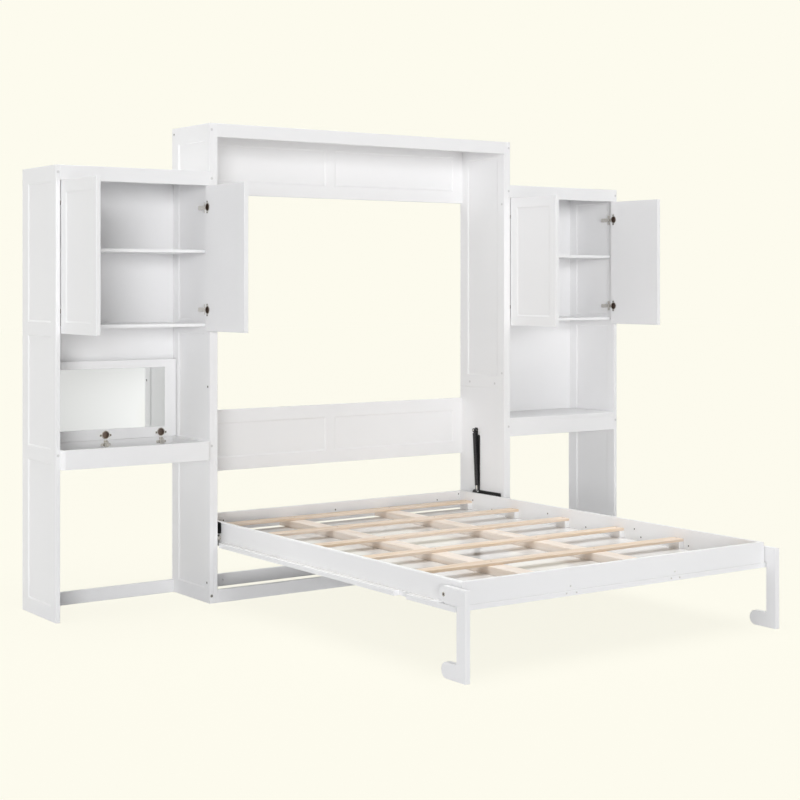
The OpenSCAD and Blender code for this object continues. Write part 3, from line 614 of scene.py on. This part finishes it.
bed_screws = []
for ys, z in ((RAIL_SCREW_YS, RAIL_SCREW_Z), (CLEAT_SCREW_YS, CLEAT_SCREW_Z)):
    for y in ys:
        bed_screws += [((in_x, y, z), LEFT), ((-in_x, y, z), RIGHT)]
for xs, z in ((HEAD_SCREW_XS, HEAD_SCREW_Z), (CORNER_SCREW_XS, CORNER_SCREW_Z)):
    bed_screws += [((x, head_in_y / MM, z), FRONT) for x in xs]
# the dark centre of each screw is painted shade of its recess
set_screws(
    "bed_screws", "bed", "black_steel", bed_screws, (screw_dark, painted_bore_shade), head_mm=7.5, centre_mm=3.5
)
slat_screw_xs = (-in_x + SLAT_SCREW_IN, -beam_x, beam_x, in_x - SLAT_SCREW_IN)
set_screws(
    "slat_screws", "bed", "bright_steel", [((x, y, slat_top), UP) for y in slat_ys for x in slat_screw_xs],
    (dark_steel_and_painted_shade, screw_dark), head_mm=6.5, centre_mm=3, heights_mm=(0.6, 0.8)
)
set_screws(
    "foot_board_bolts", "bed", "bright_steel", [((x, foot_y / MM, z), FRONT) for x, z in FOOT_BOLTS],
    (cap_white, zinc), head_mm=9, centre_mm=5
)

# ---- hinges: dark screws in the flanges of the cups, at both sides of each cup, and in the base plates
FLANGE_HALF = 28.5
FLANGE_SCREW_OFF = 23.5
PLATE_SCREW_OFF = 18
PLATE_T = 2.5
PLATE_IN = 16.5
LID_PLATE_Z = 703
# the cup is off the middle of what its arm and flange take up
DOOR_CUP_OFF = 2
LID_CUP_OFF = -2
door_cups_low, door_cups_high = (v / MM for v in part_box("door_1_hinge_cups"))
lid_cups_low, lid_cups_high = (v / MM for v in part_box("lid_hinge_cups"))
door_hinge_zs = (door_cups_low.z + FLANGE_HALF, door_cups_high.z - FLANGE_HALF)
lid_hinge_xs = (
    lid_cups_low.x + FLANGE_HALF, (lid_cups_low.x + lid_cups_high.x) / 2, lid_cups_high.x - FLANGE_HALF
)
flange_y = (door_cups_low.y + door_cups_high.y) / 2 + DOOR_CUP_OFF
flange_z = (lid_cups_low.z + lid_cups_high.z) / 2 + LID_CUP_OFF
for door, end, way in (("door_1", 1, RIGHT), ("door_2", 0, LEFT), ("door_3", 1, RIGHT), ("door_4", 0, LEFT)):
    flange_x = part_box(door + "_hinge_cups")[end].x / MM
    set_screws(
        door + "_hinge_screws", door, "black_steel",
        [((flange_x, flange_y, z + off), way) for z in door_hinge_zs for off in (-FLANGE_SCREW_OFF, FLANGE_SCREW_OFF)],
        (screw_dark, dark_steel_and_painted_shade), head_mm=6.5, centre_mm=3, heights_mm=(0.8, 1.0)
    )
lid_screws = [
    ((x + off, lid_cups_low.y, flange_z), FRONT) for x in lid_hinge_xs for off in (-FLANGE_SCREW_OFF, FLANGE_SCREW_OFF)
]
set_screws(
    "lid_hinge_screws", "lid", "black_steel", lid_screws, (screw_dark, dark_steel_and_painted_shade), head_mm=6.5, centre_mm=3,
    heights_mm=(0.8, 1.0)
)
plate_screws = []
for wall_x, way in ((-outer_in_x, RIGHT), (-centre_out_x, LEFT), (centre_out_x, RIGHT), (outer_in_x, LEFT)):
    x = wall_x / MM + way[0] * PLATE_T
    for z in door_hinge_zs:
        plate_screws += [
            ((x, unit_front_y / MM + PLATE_IN, z + off), way) for off in (-PLATE_SCREW_OFF, PLATE_SCREW_OFF)
        ]
lid_plate_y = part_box("tray_rear_wall")[0].y / MM - PLATE_T
for x in lid_hinge_xs:
    plate_screws += [((x + off, lid_plate_y, LID_PLATE_Z), FRONT) for off in (-PLATE_SCREW_OFF, PLATE_SCREW_OFF)]
set_screws(
    "hinge_plate_screws", "unit", "black_steel", plate_screws, (screw_dark, dark_steel_and_painted_shade), head_mm=6, centre_mm=3,
    heights_mm=(0.1, 0.2)
)

# ---- legs: the bolt at each swivel has a dark socket in a bright ring
# the socket's dark is painted shade of the hollow
bolts_low, bolts_high = (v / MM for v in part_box("leg_bolts"))
bolt_y, bolt_z = (bolts_low.y + bolts_high.y) / 2, (bolts_low.z + bolts_high.z) / 2
for side, x, way in (("left", bolts_low.x, LEFT), ("right", bolts_high.x, RIGHT)):
    set_screws(
        side + "_bolt_socket", "bed", "bright_steel", [((x, bolt_y, bolt_z), way)], (zinc, painted_bore_shade),
        head_mm=19, centre_mm=12, heights_mm=(0.4, 0.6)
    )

# ---- caps of the joining screws: a dark centre, as on the photographed boards
CAP_SUNK = 0.5
SIDE_CAPS = ((-345, 962), (-337, 90), (-21, 2106))
FRONT_CAP_X, FRONT_CAP_Z = 846, 34
# the dark centre of each cap is painted shade of its hollow
side_caps = [
    ((way[0] * (centre_out_x / MM + CAP_SUNK), y, z), way) for way in (LEFT, RIGHT) for y, z in SIDE_CAPS
]
set_screws(
    "side_cap_centres", "unit", "cap_plastic", side_caps, (cap_white, painted_bore_shade), head_mm=14, centre_mm=10,
    sides=12, heights_mm=(0.8, 1.2)
)
front_caps = [((x, unit_front_y / MM - CAP_SUNK, FRONT_CAP_Z), FRONT) for x in (-FRONT_CAP_X, FRONT_CAP_X)]
set_screws(
    "front_cap_centres", "unit", "cap_plastic", front_caps, (zinc, painted_bore_shade), head_mm=15, centre_mm=11,
    sides=12, heights_mm=(0.8, 1.2)
)


# =====================================================================
# Room, light and camera

BACKDROP = "#FDFBEE"
FLOOR_TONE = "#E0E0E0"
FLOOR_GLOW = 1.01
FLOOR_SHADE = 0.1
ROOM_LIGHT = 0.03
HALF_FLOOR = 40
# a painted reflection: where the mirror's image of the room, painted on the floor for glossy rays only, turns from
# grey to white and on to the backdrop, as a slope from the object, which leans a little with the distance
PAINTED_REFLECTION_GREY = "#DADADA"
GREY_UNTIL, BACKDROP_FROM = 0.145, 0.3
WHITE_AT = 0.7
IMAGE_LEAN = 0.0123


def seen_or_not(tree):
    """1 where a ray comes from the camera, a gloss or a clear body, 0 where it only carries light."""
    rays = add(tree, "ShaderNodeLightPath").outputs
    either = add(
        tree, "ShaderNodeMath", {"operation": "MAXIMUM"}, {0: rays["Is Camera Ray"], 1: rays["Is Glossy Ray"]}
    )
    return add(
        tree, "ShaderNodeMath", {"operation": "MAXIMUM"}, {0: either.outputs[0], 1: rays["Is Transmission Ray"]}
    ).outputs[0]


def painted_reflection_of_room(tree):
    """A painted reflection: the floor as glossy rays see it, grey to the left, then white, and the bright backdrop at
    the right, as the mirror shows a studio.
    """
    place = add(tree, "ShaderNodeTexCoord").outputs["Object"]
    parts = add(tree, "ShaderNodeSeparateXYZ", None, {0: place}).outputs
    ahead = add(tree, "ShaderNodeMath", {"operation": "MULTIPLY"}, {0: parts["Y"], 1: -1.0}).outputs[0]
    slope = add(tree, "ShaderNodeMath", {"operation": "DIVIDE"}, {0: parts["X"], 1: ahead}).outputs[0]
    lean = add(tree, "ShaderNodeMath", {"operation": "MULTIPLY"}, {0: ahead, 1: IMAGE_LEAN}).outputs[0]
    level = add(tree, "ShaderNodeMath", {"operation": "SUBTRACT"}, {0: slope, 1: lean}).outputs[0]
    share = add(
        tree, "ShaderNodeMapRange", None, {"Value": level, "From Min": GREY_UNTIL, "From Max": BACKDROP_FROM}
    ).outputs["Result"]
    ramp = add(tree, "ShaderNodeValToRGB", None, {"Fac": share})
    ramp.color_ramp.elements.new(WHITE_AT)
    for part, stop, code in zip(ramp.color_ramp.elements, (0.0, WHITE_AT, 1.0), (PAINTED_REFLECTION_GREY, "#FFFFFF", BACKDROP)):
        part.position = stop
        part.color = rgb(code)
    glossy = add(tree, "ShaderNodeLightPath").outputs["Is Glossy Ray"]
    return add(
        tree, "ShaderNodeMix", {"data_type": "RGBA"},
        {"Factor": glossy, "A": rgb(BACKDROP), "B": ramp.outputs["Color"]}
    ).outputs["Result"]


def make_room():
    """A plain pale floor without an end, a backdrop of the same tone, and a little light from all sides.
    What the camera sees glows at the backdrop's tone and is shaded a little, glossy rays see it with a painted
    reflection of a room, and other rays meet a matt floor."""
    world = bpy.data.worlds.new("soft_room")
    bpy.context.scene.world = world
    world.use_nodes = True
    tree = world.node_tree
    tree.nodes.clear()
    seen = add(tree, "ShaderNodeBackground", None, {"Color": rgb(BACKDROP), "Strength": 1.0})
    light = add(tree, "ShaderNodeBackground", None, {"Color": rgb("#FDFDFF"), "Strength": ROOM_LIGHT})
    mixed = add(
        tree, "ShaderNodeMixShader", None, {0: seen_or_not(tree), 1: light.outputs[0], 2: seen.outputs[0]}
    )
    add(tree, "ShaderNodeOutputWorld", None, {"Surface": mixed.outputs[0]})

    finish, tree = finish_of("pale_floor")
    # for glossy rays the glow carries a painted reflection of a room
    glow_and_painted_reflection = add(tree, "ShaderNodeEmission", None, {"Color": painted_reflection_of_room(tree), "Strength": FLOOR_GLOW})
    shade = add(tree, "ShaderNodeBsdfDiffuse", None, {"Color": rgb(BACKDROP)})
    plain = add(tree, "ShaderNodeBsdfDiffuse", None, {"Color": rgb(FLOOR_TONE)})
    shown = add(tree, "ShaderNodeMixShader", None, {0: FLOOR_SHADE, 1: glow_and_painted_reflection.outputs[0], 2: shade.outputs[0]})
    mixed = add(
        tree, "ShaderNodeMixShader", None, {0: seen_or_not(tree), 1: plain.outputs[0], 2: shown.outputs[0]}
    )
    add(tree, "ShaderNodeOutputMaterial", None, {"Surface": mixed.outputs[0]})
    mesh = bpy.data.meshes.new("floor")
    corners = [(x * HALF_FLOOR, y * HALF_FLOOR, 0) for x, y in ((-1, -1), (1, -1), (1, 1), (-1, 1))]
    mesh.from_pydata(corners, [], [(0, 1, 2, 3)])
    mesh.materials.append(finish)
    link(bpy.data.objects.new("floor", mesh))


def broad_light(name, comes_from, strength, spread):
    """A wide even light from far away, like a wall of diffusers: its shadows are too soft to have an edge.
    spread is its width in degrees. Glossy rays don't see it, because its disc would burn out on the steel."""
    lamp = bpy.data.lights.new(name, "SUN")
    lamp.energy = strength
    lamp.angle = math.radians(spread)
    obj = link(bpy.data.objects.new(name, lamp))
    obj.rotation_euler = Vector(comes_from).to_track_quat("Z", "Y").to_euler()
    obj.visible_glossy = False


make_room()
broad_light("key_light", comes_from=(-0.5, -0.84, 0.045), strength=1.86, spread=20)
broad_light("left_light", comes_from=(-1, -0.1, 0.12), strength=0.76, spread=80)
broad_light("top_light", comes_from=(0, -0.05, 1), strength=2.45, spread=60)

camera = bpy.data.cameras.new("camera")
camera.lens = CAMERA_LENS
camera.sensor_width = 36
camera.shift_y = CAMERA_SHIFT
camera.clip_end = 200
viewer = link(bpy.data.objects.new("camera", camera))
viewer.location = CAMERA_PLACE
viewer.rotation_euler = (math.radians(90), 0, math.radians(-CAMERA_TURN))
bpy.context.scene.camera = viewer
bpy.context.scene.view_settings.view_transform = "Standard"
